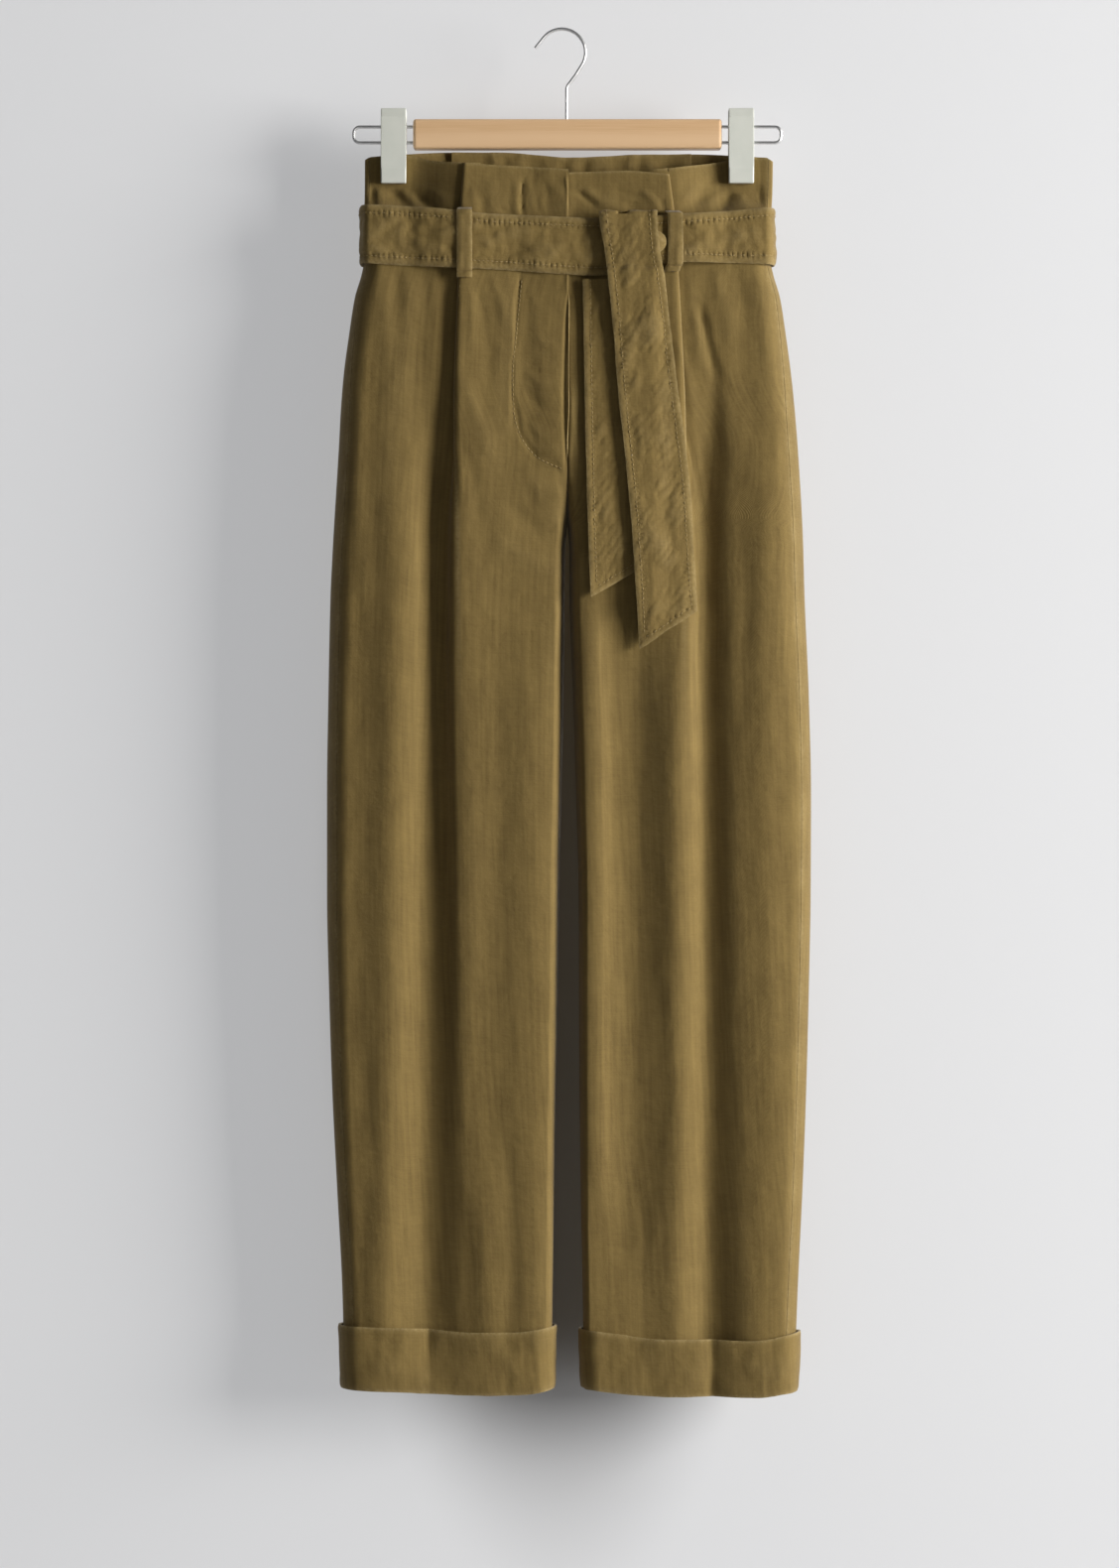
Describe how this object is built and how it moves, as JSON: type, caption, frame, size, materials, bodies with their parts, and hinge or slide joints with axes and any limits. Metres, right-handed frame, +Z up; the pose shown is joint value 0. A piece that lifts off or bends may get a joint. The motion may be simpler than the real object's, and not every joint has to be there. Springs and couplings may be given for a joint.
{
  "type": "paperbag waist trousers on a clip hanger",
  "caption": "High-waisted paperbag trousers in khaki twill with a tied sash belt, pleated fronts and turned-up hems, held by their waist on a wooden clip hanger.",
  "frame": {"origin": "inside of the hanger hook's crown, where the hook rests on a rail or a pin", "axes": "+Z up, the trousers' front faces -Y, +X towards the wearer's left"},
  "size_m": [0.4096, 0.0629, 1.1571],
  "materials": {
    "twill": "washed khaki cotton twill, matt with a faint sheen on the folds",
    "sash": "the same twill, doubled, topstitched and puckered along its edges",
    "pine": "pale pine, planed and thinly lacquered",
    "steel": "plated steel wire",
    "clip_plastic": "pale grey-green moulded plastic, satin"
  },
  "bodies": {
    "root": {"right_front": "twill", "left_front": "twill", "right_back": "twill", "left_back": "twill", "back_waist_facing": "twill", "right_cuff": "twill", "left_cuff": "twill", "front_loop_right": "twill", "front_loop_left": "twill", "back_loop_right": "twill", "back_loop_left": "twill", "belt_wrap": "sash", "belt_knot": "sash", "belt_tail_front": "sash", "belt_tail_rear": "sash", "hanger_bar": "pine", "hanger_hook": "steel", "wire_loop_right": "steel", "wire_loop_left": "steel", "clip_right_front_jaw": "clip_plastic", "clip_right_back_jaw": "clip_plastic", "clip_right_carrier": "clip_plastic", "clip_left_front_jaw": "clip_plastic", "clip_left_back_jaw": "clip_plastic", "clip_left_carrier": "clip_plastic"}
  },
  "joints": []
}
